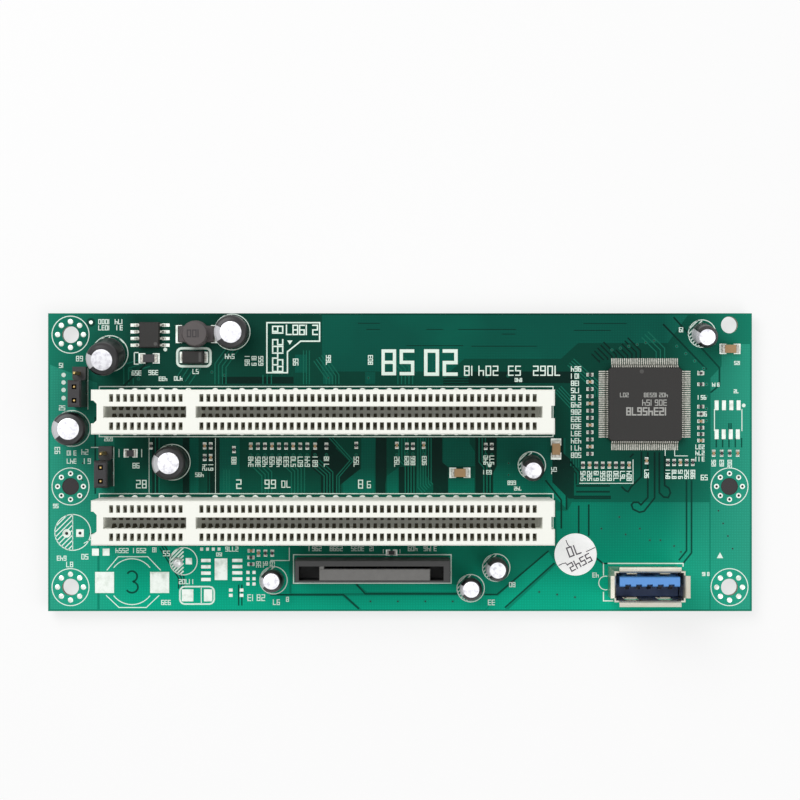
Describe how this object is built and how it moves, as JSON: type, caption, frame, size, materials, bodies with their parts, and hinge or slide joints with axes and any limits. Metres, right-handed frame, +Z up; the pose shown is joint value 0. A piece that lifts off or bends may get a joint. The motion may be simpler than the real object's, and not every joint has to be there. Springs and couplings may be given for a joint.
{
  "type": "pcie riser card",
  "caption": "Green riser board that carries white card slots, with an upright blue-tongued socket, a power plug, a square bridge chip and electrolytic cans.",
  "frame": {"origin": "middle of the board's outline, at the level of the tips of the pegs and feet below it", "axes": "+X along the board towards the end with the chip, +Y across it towards the edge with the small regulator, +Z up out of the slots"},
  "size_m": [0.1334, 0.0564, 0.0174],
  "materials": {
    "board": "green solder mask on glass-fibre laminate",
    "slot_body": "satin off-white moulding",
    "gold_contact": "thin gold plating",
    "solder": "bright solder",
    "tinned_lead": "matt tin",
    "chip_body": "fine matt moulding compound",
    "ferrite": "coated ferrite",
    "steel_shell": "nickel-plated sheet",
    "blue_insulator": "satin blue moulding",
    "black_housing": "satin black moulding",
    "can": "black sleeve on a bright aluminium can",
    "chip_ceramic": "tan ceramic with tinned ends",
    "rubber": "matt black",
    "sticker": "matt white paper"
  },
  "bodies": {
    "root": {"circuit_board": "board", "pci_slot_housing_1": "slot_body", "pci_slot_housing_2": "slot_body", "pci_slot_contacts_1": "gold_contact", "pci_slot_contacts_2": "gold_contact", "pci_slot_joints_1": "solder", "pci_slot_joints_2": "solder", "bridge_chip": "chip_body", "bridge_chip_leads": "tinned_lead", "regulator_chip": "chip_body", "regulator_leads": "tinned_lead", "power_inductor": "ferrite", "inductor_terminals": "tinned_lead", "power_diode": "chip_body", "diode_terminals": "tinned_lead", "usb_shell": "steel_shell", "usb_insulator": "blue_insulator", "usb_contacts": "gold_contact", "power_plug_housing": "black_housing", "power_plug_contacts": "gold_contact", "component_joints": "solder", "pin_header_1_base": "black_housing", "pin_header_2_base": "black_housing", "pin_header_1_pins": "gold_contact", "pin_header_2_pins": "gold_contact", "jumper_cap_1": "black_housing", "jumper_cap_2": "black_housing", "ceramic_capacitors": "chip_ceramic", "rubber_foot_left": "rubber", "rubber_foot_right": "rubber", "inspection_sticker": "sticker", "capacitor_1": "can", "capacitor_2": "can", "capacitor_3": "can", "capacitor_4": "can", "capacitor_5": "can", "capacitor_6": "can", "capacitor_7": "can", "capacitor_8": "can", "capacitor_9": "can"}
  },
  "joints": []
}
